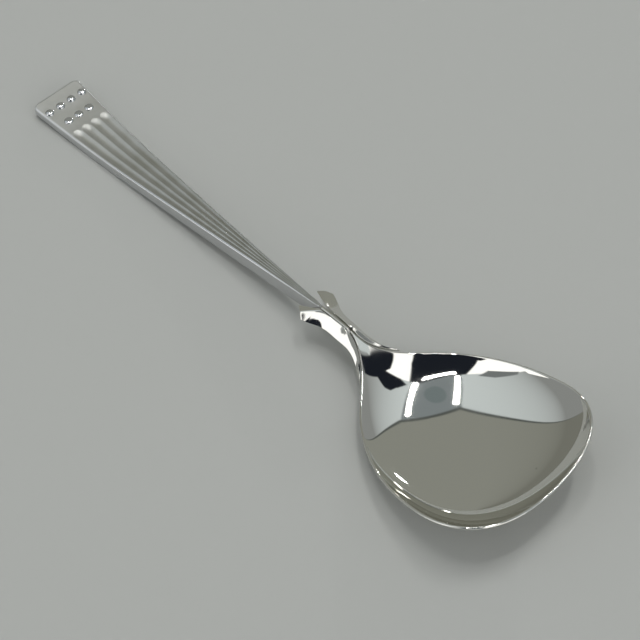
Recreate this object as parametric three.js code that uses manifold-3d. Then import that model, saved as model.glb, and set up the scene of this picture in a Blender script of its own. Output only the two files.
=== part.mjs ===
// Jam spoon: a struck handle with flutes and beads, a neck collar, two horns and a pressed bowl.
// Millimetres, +Z up, +X from the handle to the bowl's tip.
// The origin is the middle of the small flat under the bowl.

import * as THREE from 'three';
import { mergeVertices } from 'three/addons/utils/BufferGeometryUtils.js';
import Module from 'manifold-3d';

const wasm = await Module();
wasm.setup();

// The soldered seats between two pieces
const SEAT_GAP = 0.3;

// Bowl: outline in plan, measured from the middle of its flat, and the dish that it is trimmed from
const BOWL_TIP_REACH = 30.5;
const BOWL_HEEL_REACH = 22.6;
const BOWL_HALF_WIDTH = 20.2;
const BOWL_WIDEST_AT = 15.5;
const SHOULDER_BACK = 8.9;
const SHOULDER_HALF_WIDTH = 10.6;
const HEEL_PULL = 0.41;
const HEEL_SPREAD = 0.06;
const SHOULDER_PULL_BACK = 0.34;
const SHOULDER_NARROWING = 0.56;
const SHOULDER_PULL_FORWARD = 0.22;
const SHOULDER_WIDENING = 0.54;
const SIDE_FULLNESS = 0.45;
const CORNER_FULLNESS = 0.8;
const TIP_BLUNTNESS = 0.54;
const BOWL_WALL = 0.9;
const RIM_THICKNESS = 0.6;
const BOWL_CROSS_RADIUS = 33.6;
const BOWL_HEEL_RADIUS = 34.5;
const BOWL_TIP_RADIUS = 41.7;
// In front of the shoulders the dish is flatter in the middle and steeper at the rim by this share
const RIM_TURN_UP = 0.26;
const RIM_TURN_SHARPNESS = 6;
const RIM_TURN_FROM = -20;
const RIM_TURN_FULL = -4;
const REST_FLAT_DEPTH = 0.2;

// Handle: a bar that narrows and deepens from the butt to the neck
const HANDLE_LENGTH = 88.2;
const BUTT_WIDTH = 12.9;
const BUTT_THICKNESS = 1.9;
const BUTT_LIFT = 0.9;
const BUTT_CORNER = 0.8;
const REST_FROM_BUTT = 22;
const REST_SOFTNESS = 0.15;
const NECK_WIDTH = 0.8;
const NECK_DEPTH = 4.1;
const SIDE_FLARE = 0.06;
const SCARF_SLOPE = 1;

// Ornament on the handle's face
const FLUTE_COUNT = 4;
const FLUTE_START = 11.9;
const FLUTE_RUN_IN = 2.4;
const FLUTE_DEPTH_SHARE = 0.1;
const EDGE_LAND = 0.12;
const BEAD_RADIUS = 1.05;
const BEAD_HEIGHT = 0.5;
const FIRST_BEAD_ROW = 3.8;
const SECOND_BEAD_ROW = 8.5;

// Neck: a collar between the handle's slanted end and the bowl, with a tongue that runs on under the bowl
const NECK_LENGTH = 8.4;
const NECK_RISE = 0.3;
const COLLAR_BOTTOM_SLOPE = 0.09;
const HEEL_TOP_WIDTH = 0.6;
const DROP_LENGTH = 8;
const DROP_END_WIDTH = 1;
const DROP_END_THICKNESS = 0.7;

// Horns: two leaves that clasp the neck, with a point beside the handle and a tail along the bowl's shoulder
const HORN_WIDTH = 2.1;
const HORN_SWELL = 0.3;
const HORN_SWELL_LENGTH = 3;
const HORN_FLARE = 1.15;
const HORN_FLARE_BACK = 0.5;
const HORN_FLARE_LENGTH = 2.7;
const HORN_BACK_REACH = 4.2;
const HORN_SPLAY = 0.4;
const HORN_TAIL_BACK = 14.2;
const HORN_TAIL_WIDTH = 0.25;
const HORN_TAPER_SHARPNESS = 4;
const HORN_RISE = 0.3;
const HORN_EDGE_DROP = 1.4;
const HORN_EDGE_FALL = 0.035;
const HORN_TAIL_DROP = 0.5;
const HORN_DEPTH = 0.9;
const HORN_TAIL_DEPTH = 0.2;
const HORN_THINNING_SHARPNESS = 3;
const HORN_TIP_THINNING = 0.5;
const HORN_FACE_BULGE = 0.05;
const HORN_BACK_BULGE = 0.1;
const HORN_REAR_SLOPE = 0.3;
const HORN_REAR_DROP = 0.2;
const HORN_REAR_TURN = 0.9;
const HORN_TIP_BACK = 1.7;
const HORN_TIP_OUT = 4.4;
const HORN_GROOVE_DEPTH = 0.5;
const HORN_GROOVE_WIDTH = 0.5;
const HORN_GROOVE_RUN_IN = 2;
const HORN_CREST_LAND = 0.05;

// Fineness of the facets
const OUTLINE_STEPS = 8;
const DISH_RINGS = 9;
const FLUTE_STEPS = 4;
const HORN_STATIONS = 26;
const HORN_STEPS = 5;
const HANDLE_STATIONS = 24;
const FLUTE_END_STATIONS = 8;
const COLLAR_STATIONS = 6;
const BUTT_STATIONS = 3;
const BEAD_SIDES = 14;
const BEAD_BANDS = 8;
const WELD_DISTANCE = 1e-5;

const silver = (color, roughness) => new THREE.MeshStandardMaterial({ color, roughness, metalness: 1 });
const lerp = THREE.MathUtils.lerp;
const clamp = THREE.MathUtils.clamp;

// Solids from meshes, joined and cut

function toSolid(geometry) {
  const plain = geometry.clone();
  plain.deleteAttribute('normal');
  plain.deleteAttribute('uv');
  const merged = mergeVertices(plain, WELD_DISTANCE);
  const vertProperties = new Float32Array(merged.attributes.position.array);
  const triVerts = new Uint32Array(merged.index.array);
  return new wasm.Manifold(new wasm.Mesh({ numProp: 3, vertProperties, triVerts }));
}

function toGeometry(solid) {
  const mesh = solid.getMesh();
  const geometry = new THREE.BufferGeometry();
  geometry.setAttribute('position', new THREE.BufferAttribute(new Float32Array(mesh.vertProperties), 3));
  geometry.setIndex(new THREE.BufferAttribute(new Uint32Array(mesh.triVerts), 1));
  geometry.computeVertexNormals();
  return geometry;
}

function indexedGeometry(points, triangles) {
  const geometry = new THREE.BufferGeometry();
  const positions = points.flatMap((point) => [point.x, point.y, point.z]);
  geometry.setAttribute('position', new THREE.Float32BufferAttribute(positions, 3));
  geometry.setIndex(triangles);
  return geometry;
}

// A closed skin over sections across X, each a loop of [y, z] pairs that runs anticlockwise seen from +X
function loft(sections) {
  const count = sections[0].loop.length;
  const points = sections.flatMap(({ x, loop }) => loop.map(([y, z]) => new THREE.Vector3(x, y, z)));
  const triangles = [];
  for (let station = 0; station < sections.length - 1; station += 1) {
    for (let k = 0; k < count; k += 1) {
      const next = (k + 1) % count;
      const a = station * count + k;
      const b = station * count + next;
      triangles.push(a, b, a + count, b, b + count, a + count);
    }
  }
  const ends = [{ section: sections[0], first: 0, turn: true }];
  ends.push({ section: sections.at(-1), first: (sections.length - 1) * count, turn: false });
  for (const { section, first, turn } of ends) {
    const middle = points.length;
    const sum = section.loop.reduce(([y, z], corner) => [y + corner[0], z + corner[1]], [0, 0]);
    points.push(new THREE.Vector3(section.x, sum[0] / count, sum[1] / count));
    for (let k = 0; k < count; k += 1) {
      const here = first + k;
      const next = first + (k + 1) % count;
      triangles.push(middle, turn ? next : here, turn ? here : next);
    }
  }
  return indexedGeometry(points, triangles);
}

const spread = (from, to, steps) => Array.from({ length: steps + 1 }, (_, k) => lerp(from, to, k / steps));

// The bowl's dish and its outline, which the neck's pieces follow too

const FLOOR_HEIGHT = BOWL_WALL - REST_FLAT_DEPTH;
const wallAt = (share) => lerp(BOWL_WALL, RIM_THICKNESS, share);

function dishRadiusAlong(x) {
  return x < 0 ? BOWL_HEEL_RADIUS : BOWL_TIP_RADIUS;
}

const rimTurnUp = (x) => RIM_TURN_UP * THREE.MathUtils.smoothstep(x, RIM_TURN_FROM, RIM_TURN_FULL);

// The dish at a place that lies at this share of the way from the middle to the rim
function dishHeight(x, y, share = 1) {
  const depth = (x * x) / (2 * dishRadiusAlong(x)) + (y * y) / (2 * BOWL_CROSS_RADIUS);
  return FLOOR_HEIGHT + depth * (1 + rimTurnUp(x) * (share ** RIM_TURN_SHARPNESS - 1));
}

function dishNormal(x, y, share = 1) {
  const turning = (1 + RIM_TURN_SHARPNESS / 2) * share ** RIM_TURN_SHARPNESS - 1;
  const steepness = 1 + rimTurnUp(x) * turning;
  return new THREE.Vector3(-x / dishRadiusAlong(x), -y / BOWL_CROSS_RADIUS, 1 / steepness).normalize();
}

function bowlHalfOutline() {
  const heel = new THREE.Vector2(-BOWL_HEEL_REACH, 0);
  const shoulder = new THREE.Vector2(-SHOULDER_BACK, SHOULDER_HALF_WIDTH);
  const widest = new THREE.Vector2(BOWL_WIDEST_AT, BOWL_HALF_WIDTH);
  const tip = new THREE.Vector2(BOWL_TIP_REACH, 0);
  const neckRun = shoulder.x - heel.x;
  const sideRun = widest.x - shoulder.x;
  const tipRun = tip.x - widest.x;
  const sideRise = widest.y - shoulder.y;
  const neck = new THREE.CubicBezierCurve(
    heel,
    new THREE.Vector2(heel.x + HEEL_PULL * neckRun, HEEL_SPREAD * shoulder.y),
    new THREE.Vector2(shoulder.x - SHOULDER_PULL_BACK * neckRun, SHOULDER_NARROWING * shoulder.y),
    shoulder,
  );
  const side = new THREE.CubicBezierCurve(
    shoulder,
    new THREE.Vector2(
      shoulder.x + SHOULDER_PULL_FORWARD * sideRun,
      shoulder.y + SHOULDER_WIDENING * sideRise,
    ),
    new THREE.Vector2(widest.x - SIDE_FULLNESS * sideRun, widest.y),
    widest,
  );
  const front = new THREE.CubicBezierCurve(
    widest,
    new THREE.Vector2(widest.x + CORNER_FULLNESS * tipRun, widest.y),
    new THREE.Vector2(tip.x, TIP_BLUNTNESS * widest.y),
    tip,
  );
  const joined = [neck, side, front].flatMap((curve) => curve.getPoints(OUTLINE_STEPS).slice(0, -1));
  return [...joined, tip];
}

const halfOutline = bowlHalfOutline();

// Half the width at x of a line in plan, read between the line's start and the widest place
function widthAlong(line, x) {
  const after = line.findIndex((point) => point.x >= x);
  if (after <= 0) {
    return 0;
  }
  const from = line[after - 1];
  const to = line[after];
  return lerp(from.y, to.y, (x - from.x) / (to.x - from.x));
}

const rimHalfWidth = (x) => widthAlong(halfOutline, x);

function bowlGeometry() {
  const mirrored = halfOutline.slice(1, -1).reverse().map((point) => new THREE.Vector2(point.x, -point.y));
  const rim = [...halfOutline, ...mirrored];
  const count = rim.length;
  const flatAlong = (x) => Math.sqrt(2 * dishRadiusAlong(x) * REST_FLAT_DEPTH);
  const flatAcross = Math.sqrt(2 * BOWL_CROSS_RADIUS * REST_FLAT_DEPTH);
  const inner = [new THREE.Vector3(0, 0, FLOOR_HEIGHT)];
  const outer = [new THREE.Vector3(0, 0, 0)];
  for (let ring = 0; ring < DISH_RINGS; ring += 1) {
    const share = ring / (DISH_RINGS - 1);
    for (const edge of rim) {
      const angle = Math.atan2(edge.y, edge.x);
      const flatX = flatAlong(edge.x) * Math.cos(angle);
      const flatY = flatAcross * Math.sin(angle);
      const x = lerp(flatX, edge.x, share);
      const y = lerp(flatY, edge.y, share);
      const fromMiddle = Math.hypot(x, y) / edge.length();
      const surface = new THREE.Vector3(x, y, dishHeight(x, y, fromMiddle));
      const under = surface.clone().addScaledVector(dishNormal(x, y, fromMiddle), -wallAt(fromMiddle));
      inner.push(surface);
      outer.push(ring === 0 ? new THREE.Vector3(flatX, flatY, 0) : under);
    }
  }
  const below = inner.length;
  const triangles = [];
  const at = (ring, k) => 1 + ring * count + (k % count);
  for (let k = 0; k < count; k += 1) {
    triangles.push(0, at(0, k + 1), at(0, k));
    triangles.push(below, below + at(0, k), below + at(0, k + 1));
    for (let ring = 0; ring < DISH_RINGS - 1; ring += 1) {
      const corners = [at(ring, k), at(ring, k + 1), at(ring + 1, k), at(ring + 1, k + 1)];
      const [a, b, c, d] = corners;
      triangles.push(a, b, c, b, d, c);
      triangles.push(below + a, below + c, below + b, below + b, below + c, below + d);
    }
    const edge = at(DISH_RINGS - 1, k);
    const nextEdge = at(DISH_RINGS - 1, k + 1);
    triangles.push(edge, nextEdge, below + edge, nextEdge, below + nextEdge, below + edge);
  }
  return indexedGeometry([...inner, ...outer], triangles);
}

// Places along the neck, worked back from the bowl's heel

const HEEL_X = -BOWL_HEEL_REACH;
const HEEL_Z = dishHeight(HEEL_X, 0);
const NECK_TOP_X = HEEL_X - NECK_LENGTH;
const NECK_TOP_Z = HEEL_Z - NECK_RISE;
const NECK_BOTTOM_Z = NECK_TOP_Z - NECK_DEPTH;
const BUTT_X = NECK_TOP_X - HANDLE_LENGTH;
const REST_X = BUTT_X + REST_FROM_BUTT;
const OVERRUN = 2;

const CUTTER_SIZE = 8 * NECK_DEPTH;

// Everything on one side of a plane through x and z that rises with this slope towards the tip
function slantCutter(slope, x, z, below) {
  const geometry = new THREE.BoxGeometry(CUTTER_SIZE, CUTTER_SIZE, CUTTER_SIZE);
  geometry.translate(0, 0, below ? -CUTTER_SIZE / 2 : CUTTER_SIZE / 2);
  geometry.rotateY(-Math.atan(slope));
  return geometry.translate(x, 0, z);
}

// The scarf where the handle meets the neck, moved towards the tip by a gap
function scarfCutter(below, gap) {
  return slantCutter(SCARF_SLOPE, NECK_TOP_X + gap * Math.hypot(1, 1 / SCARF_SLOPE), NECK_TOP_Z, below);
}

// The handle's height, thickness and width at x

function handleUnderside(x) {
  if (x < REST_X) {
    return BUTT_LIFT * ((REST_X - x) / REST_FROM_BUTT) ** 2;
  }
  const share = (x - REST_X) / (NECK_TOP_X - REST_X);
  const rise = (part) => Math.hypot(part, REST_SOFTNESS) - REST_SOFTNESS;
  return NECK_BOTTOM_Z * rise(share) / rise(1);
}

const alongHandle = (x) => (x - BUTT_X) / HANDLE_LENGTH;
const handleThickness = (x) => lerp(BUTT_THICKNESS, NECK_DEPTH, alongHandle(x));
const handleTop = (x) => handleUnderside(x) + handleThickness(x);

function handleHalfWidth(x) {
  const straight = lerp(BUTT_WIDTH, NECK_WIDTH, alongHandle(x)) / 2;
  const fromCorner = clamp(BUTT_CORNER - (x - BUTT_X), 0, BUTT_CORNER);
  const rounding = BUTT_CORNER - Math.sqrt(BUTT_CORNER ** 2 - fromCorner ** 2);
  return straight - rounding;
}

// Depth of the flutes at a place across the face: their ends are round, and they fade out at the butt
function fluteDepth(x, across, fluteWidth) {
  const round = 1 - Math.sqrt(1 - (2 * across - 1) ** 2);
  const start = BUTT_X + FLUTE_START + round * fluteWidth / 2;
  const runIn = clamp((x - start) / FLUTE_RUN_IN, 0, 1);
  return FLUTE_DEPTH_SHARE * fluteWidth * Math.sin(Math.PI * across) * Math.sin(runIn * Math.PI / 2);
}

function handleSection(x) {
  const half = handleHalfWidth(x);
  const top = handleTop(x);
  const bottomHalf = half + SIDE_FLARE * handleThickness(x);
  const fluted = half - EDGE_LAND;
  const fluteWidth = 2 * fluted / FLUTE_COUNT;
  const face = [[half, top]];
  for (let k = 0; k <= FLUTE_COUNT * FLUTE_STEPS; k += 1) {
    const across = (k % FLUTE_STEPS) / FLUTE_STEPS;
    face.push([fluted - k * fluteWidth / FLUTE_STEPS, top - fluteDepth(x, across, fluteWidth)]);
  }
  face.push([-half, top]);
  return { x, loop: [...face, [-bottomHalf, handleUnderside(x)], [bottomHalf, handleUnderside(x)]] };
}

function bead(x, y) {
  const geometry = new THREE.SphereGeometry(1, BEAD_SIDES, BEAD_BANDS);
  geometry.scale(BEAD_RADIUS, BEAD_RADIUS, BEAD_HEIGHT);
  return geometry.translate(x, y, handleTop(x));
}

function beadRow(fromButt, count) {
  const x = BUTT_X + fromButt;
  const pitch = 2 * handleHalfWidth(x) / FLUTE_COUNT;
  return Array.from({ length: count }, (_, k) => bead(x, (k - (count - 1) / 2) * pitch));
}

function handleGeometry() {
  const flutesFrom = BUTT_X + FLUTE_START;
  const flutesFull = flutesFrom + FLUTE_RUN_IN + BUTT_WIDTH / FLUTE_COUNT;
  const places = [
    ...spread(BUTT_X, BUTT_X + BUTT_CORNER, BUTT_STATIONS),
    ...spread(BUTT_X + BUTT_CORNER, flutesFrom, BUTT_STATIONS).slice(1),
    ...spread(flutesFrom, flutesFull, FLUTE_END_STATIONS).slice(1),
    ...spread(flutesFull, NECK_TOP_X + OVERRUN, HANDLE_STATIONS).slice(1),
  ];
  let solid = toSolid(loft(places.map(handleSection)));
  solid = solid.subtract(toSolid(scarfCutter(true, 0)));
  const beads = [...beadRow(FIRST_BEAD_ROW, FLUTE_COUNT), ...beadRow(SECOND_BEAD_ROW, FLUTE_COUNT - 1)];
  for (const geometry of beads) {
    solid = solid.add(toSolid(geometry));
  }
  return toGeometry(solid);
}

// The collar's top between the horns, and its half width there

function collarTop(x) {
  return lerp(NECK_TOP_Z, HEEL_Z, (x - NECK_TOP_X) / NECK_LENGTH);
}

function collarTopHalf(x) {
  const share = clamp((x - NECK_TOP_X) / NECK_LENGTH, 0, 1);
  return lerp(NECK_WIDTH, HEEL_TOP_WIDTH, share) / 2;
}

const collarBottom = (x) => NECK_BOTTOM_Z + COLLAR_BOTTOM_SLOPE * (x - NECK_TOP_X);
const collarFlare = SIDE_FLARE * NECK_DEPTH;

// The top of the tongue, one seat gap below the bowl
function tongueTop(x) {
  const share = x / HEEL_X;
  return dishHeight(x, 0, share) - (wallAt(share) + SEAT_GAP) / dishNormal(x, 0, share).z;
}

function neckCollarGeometry() {
  const heelFace = HEEL_X - RIM_THICKNESS - SEAT_GAP;
  const dropEnd = HEEL_X + DROP_LENGTH;
  const section = (x, top, bottom, topHalf, bottomHalf) => (
    { x, loop: [[topHalf, top], [-topHalf, top], [-bottomHalf, bottom], [bottomHalf, bottom]] }
  );
  const backX = NECK_TOP_X - NECK_DEPTH / SCARF_SLOPE;
  const sections = spread(backX, heelFace, COLLAR_STATIONS).map((x) => (
    section(x, collarTop(x), collarBottom(x), collarTopHalf(x), collarTopHalf(x) + collarFlare)
  ));
  const heelHalf = collarTopHalf(heelFace) + collarFlare;
  for (const x of spread(heelFace + SEAT_GAP / 2, dropEnd, COLLAR_STATIONS)) {
    const share = (x - heelFace) / (dropEnd - heelFace);
    const half = lerp(heelHalf, DROP_END_WIDTH / 2, share);
    const bottom = lerp(collarBottom(heelFace), tongueTop(dropEnd) - DROP_END_THICKNESS, share * share);
    sections.push(section(x, tongueTop(x), bottom, Math.min(half, collarTopHalf(x)), half));
  }
  const solid = toSolid(loft(sections));
  return toGeometry(solid.subtract(toSolid(scarfCutter(false, SEAT_GAP))));
}

// One horn: its inner face follows the collar, then the underside of the bowl's rim

const HORN_BACK_X = NECK_TOP_X - HORN_BACK_REACH;
const HORN_TAIL_X = -HORN_TAIL_BACK;

// The line in plan that stays one seat gap outside the lower edge of the rim
function hornSeatLine() {
  const lower = halfOutline.map(({ x, y }) => {
    const normal = dishNormal(x, y);
    return new THREE.Vector2(x - RIM_THICKNESS * normal.x, y - RIM_THICKNESS * normal.y);
  });
  return lower.map((point, k) => {
    const before = lower[Math.max(k - 1, 0)];
    const after = lower[Math.min(k + 1, lower.length - 1)];
    const along = after.clone().sub(before).normalize();
    return new THREE.Vector2(point.x - SEAT_GAP * along.y, point.y + SEAT_GAP * along.x);
  });
}

const seatLine = hornSeatLine();

function hornInner(x) {
  const besideHandle = Math.max(NECK_TOP_X - x, 0);
  const neckHalf = besideHandle > 0 ? handleHalfWidth(x) + HORN_SPLAY * besideHandle : collarTopHalf(x);
  return Math.hypot(neckHalf + SEAT_GAP, widthAlong(seatLine, x));
}

const hornCarrier = (x) => (x < HEEL_X ? collarTop(x) : dishHeight(x, rimHalfWidth(x)));

function hornSection(x, side) {
  const along = (x - HORN_BACK_X) / (HORN_TAIL_X - HORN_BACK_X);
  const fromFlare = Math.max(x - (NECK_TOP_X - HORN_FLARE_BACK), 0);
  const opening = Math.exp(-((fromFlare / HORN_FLARE_LENGTH) ** 2));
  const swell = Math.exp(-(((x - HEEL_X) / HORN_SWELL_LENGTH) ** 2));
  const plainWidth = lerp(HORN_WIDTH, HORN_TAIL_WIDTH, along ** HORN_TAPER_SHARPNESS);
  const width = plainWidth + HORN_FLARE * opening + HORN_SWELL * swell;
  const ridge = hornCarrier(x) + HORN_RISE;
  const neckEdge = NECK_TOP_Z - HORN_EDGE_DROP - HORN_EDGE_FALL * (x - NECK_TOP_X);
  const edge = Math.min(neckEdge, ridge - HORN_TAIL_DROP);
  const plainDepth = lerp(HORN_DEPTH, HORN_TAIL_DEPTH, along ** HORN_THINNING_SHARPNESS);
  const foot = edge - plainDepth * (1 - HORN_TIP_THINNING * opening);
  const groove = THREE.MathUtils.smoothstep(x, HEEL_X - HORN_GROOVE_RUN_IN, HEEL_X + HORN_GROOVE_RUN_IN);
  const seat = new THREE.Vector2(hornInner(x), ridge - HORN_GROOVE_DEPTH * groove * (1 - along));
  const crest = new THREE.Vector2(seat.x + width * lerp(HORN_CREST_LAND, HORN_GROOVE_WIDTH, groove), ridge);
  const outer = new THREE.Vector2(seat.x + width, edge);
  const heel = new THREE.Vector2(seat.x + collarFlare, foot);
  const bend = (from, to, cornerZ, share) => {
    const corner = new THREE.Vector2(outer.x, cornerZ);
    const pull = from.clone().lerp(to, 0.5).lerp(corner, share);
    return new THREE.QuadraticBezierCurve(from, pull, to);
  };
  const face = bend(crest, outer, ridge, HORN_FACE_BULGE);
  const back = bend(outer, heel, foot, HORN_BACK_BULGE);
  const curve = [seat, ...face.getPoints(HORN_STEPS), ...back.getPoints(HORN_STEPS).slice(1)];
  const loop = curve.map((point) => [side * point.x, point.y]);
  return { x, loop: side > 0 ? loop.reverse() : loop };
}

// Everything behind the horn's rear edge, which turns in from the tip towards the handle
function rearCutter(side) {
  const geometry = new THREE.BoxGeometry(CUTTER_SIZE, CUTTER_SIZE, CUTTER_SIZE);
  geometry.translate(-CUTTER_SIZE / 2, 0, 0);
  geometry.rotateZ(-side * HORN_REAR_TURN);
  return geometry.translate(NECK_TOP_X - HORN_TIP_BACK, side * HORN_TIP_OUT, NECK_TOP_Z);
}

function hornGeometry(side) {
  const sections = spread(HORN_BACK_X, HORN_TAIL_X, HORN_STATIONS).map((x) => hornSection(x, side));
  let solid = toSolid(loft(sections));
  const rearTop = slantCutter(HORN_REAR_SLOPE, NECK_TOP_X, NECK_TOP_Z + HORN_RISE - HORN_REAR_DROP, false);
  solid = solid.subtract(toSolid(rearTop));
  return toGeometry(solid.subtract(toSolid(rearCutter(side))));
}

function piece(name, geometry, material) {
  const mesh = new THREE.Mesh(geometry, material);
  mesh.name = name;
  return mesh;
}

const spoon = new THREE.Group();
spoon.add(piece('handle', handleGeometry(), silver(0xb4b3aa, 0.32)));
spoon.add(piece('neck_collar', neckCollarGeometry(), silver(0xaeada5, 0.2)));
spoon.add(piece('left_horn', hornGeometry(1), silver(0xc9c9c4, 0.08)));
spoon.add(piece('right_horn', hornGeometry(-1), silver(0xc9c9c4, 0.08)));
spoon.add(piece('bowl', bowlGeometry(), silver(0xc4c4be, 0.05)));

export default spoon;
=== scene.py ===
"""Looks of a silver-plated jam spoon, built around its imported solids.

The handle, the neck collar, the two horns and the bowl are rebuilt here as smooth metal, because
polished silver shows every facet. Their sizes are those of the solids, but for narrower seats, rounded
edges and a lower second row of beads. The beads on the handle are made with Geometry Nodes.
"""

import math

import bmesh
import bpy
import numpy as np
from mathutils import Matrix, Vector


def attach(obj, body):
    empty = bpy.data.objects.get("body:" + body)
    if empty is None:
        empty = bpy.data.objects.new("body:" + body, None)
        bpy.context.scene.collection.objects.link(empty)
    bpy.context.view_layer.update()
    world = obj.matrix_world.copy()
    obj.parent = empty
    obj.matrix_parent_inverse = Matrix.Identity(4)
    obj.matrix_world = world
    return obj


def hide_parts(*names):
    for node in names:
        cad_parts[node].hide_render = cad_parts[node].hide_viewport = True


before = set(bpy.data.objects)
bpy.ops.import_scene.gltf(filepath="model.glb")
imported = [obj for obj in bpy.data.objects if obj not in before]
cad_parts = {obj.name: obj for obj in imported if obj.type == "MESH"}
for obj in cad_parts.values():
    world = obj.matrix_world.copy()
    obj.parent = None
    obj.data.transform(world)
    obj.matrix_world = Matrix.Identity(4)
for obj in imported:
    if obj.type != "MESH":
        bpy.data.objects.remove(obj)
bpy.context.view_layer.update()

bl_info = {
    "name": "Jam spoon",
    "version": (1, 0, 0),
    "blender": (4, 5, 0),
    "location": "3D View > Sidebar > Jam spoon",
    "description": "Builds a silver-plated jam spoon and the light tent it lies in",
    "category": "Add Mesh",
}

MM = 0.001
BODY = "root"


def linear(hex_colour):
    """The linear colour of an sRGB hex value such as C8C6BE."""
    parts = [int(hex_colour[k : k + 2], 16) / 255 for k in (0, 2, 4)]
    return tuple(p / 12.92 if p <= 0.04045 else ((p + 0.055) / 1.055) ** 2.4 for p in parts)


def length(name, description, millimetres):
    """A property that holds a length."""
    return bpy.props.FloatProperty(
        name=name, description=description, default=millimetres * MM, unit="LENGTH", precision=5
    )


def share(name, description, value):
    """A property that holds a plain ratio."""
    return bpy.props.FloatProperty(name=name, description=description, default=value)


def angle(name, description, radians):
    """A property that holds an angle."""
    return bpy.props.FloatProperty(name=name, description=description, default=radians, subtype="ANGLE")


def colour(name, description, hex_colour):
    """A property that holds a colour."""
    return bpy.props.FloatVectorProperty(
        name=name, description=description, default=linear(hex_colour), subtype="COLOR", size=3, min=0, max=1
    )


class SpoonBowlSizes(bpy.types.PropertyGroup):
    """The bowl, measured from the middle of the flat that it lies on."""

    tip_reach: length("Tip reach", "From the flat to the tip", 30.5)
    heel_reach: length("Heel reach", "From the flat back to the heel", 22.6)
    half_width: length("Half width", "Half the bowl's greatest width", 20.2)
    widest_at: length("Widest at", "From the flat to the widest place", 15.5)
    shoulder_back: length("Shoulder back", "From the flat back to the shoulder", 8.9)
    shoulder_half: length("Shoulder half width", "Half the width at the shoulder", 10.6)
    wall: length("Wall", "Thickness of the sheet in the middle", 0.9)
    rim_thickness: length("Rim thickness", "Thickness of the sheet at the rim", 0.6)
    lip: length("Lip", "How far the rounded edge stands out", 0.3)
    flat_depth: length("Flat depth", "How much is worn off under the bowl", 0.2)
    cross_radius: length("Cross radius", "Radius of the dish across the bowl", 33.6)
    heel_radius: length("Heel radius", "Radius of the dish towards the heel", 34.5)
    tip_radius: length("Tip radius", "Radius of the dish towards the tip", 41.7)
    turn_up: share("Rim turn-up", "How much flatter the dish is in the middle and steeper at the rim", 0.26)
    turn_from: length("Turn-up from", "Where the turn-up begins, from the flat", -20)
    turn_full: length("Turn-up full", "Where the turn-up is full, from the flat", -4)


class SpoonHandleSizes(bpy.types.PropertyGroup):
    """The handle, from its butt to the slanted end at the neck."""

    length: length("Length", "From the butt to the neck", 88.2)
    butt_width: length("Butt width", "Width of the square end", 12.9)
    butt_thickness: length("Butt thickness", "Thickness of the square end", 1.9)
    butt_lift: length("Butt lift", "How far the square end curls up", 0.9)
    butt_corner: length("Butt corner", "Radius of the square end's corners", 0.8)
    rest_from_butt: length("Rest from butt", "From the butt to where the handle touches the table", 22)
    neck_width: length("Neck width", "Width of the face at the neck", 0.8)
    neck_depth: length("Neck depth", "Thickness at the neck", 4.1)
    edge_round: length("Edge round", "Radius of the long edges", 0.5)
    end_round: length("End round", "Rounding of the edges at the square end", 0.2)
    flute_start: length("Flute start", "From the butt to the flutes' round ends", 11.9)
    flute_run_in: length("Flute run-in", "Length over which a flute deepens", 2.4)
    flute_depth: share("Flute depth", "Depth of a flute as a share of its width", 0.1)
    side_flare: share("Side flare", "Lean of the side walls", 0.06)
    flute_count: bpy.props.IntProperty(name="Flutes", description="Flutes on the face", default=4, min=1)


class SpoonBeadSizes(bpy.types.PropertyGroup):
    """The beads near the handle's square end."""

    radius: length("Radius", "Radius of a bead", 1.05)
    height: length("Height", "Height of a bead in the first row", 0.5)
    low_height: length("Low height", "Height of a bead in the second row", 0.3)
    first_row: length("First row", "From the butt to the first row", 3.8)
    second_row: length("Second row", "From the butt to the second row", 8.5)


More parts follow.
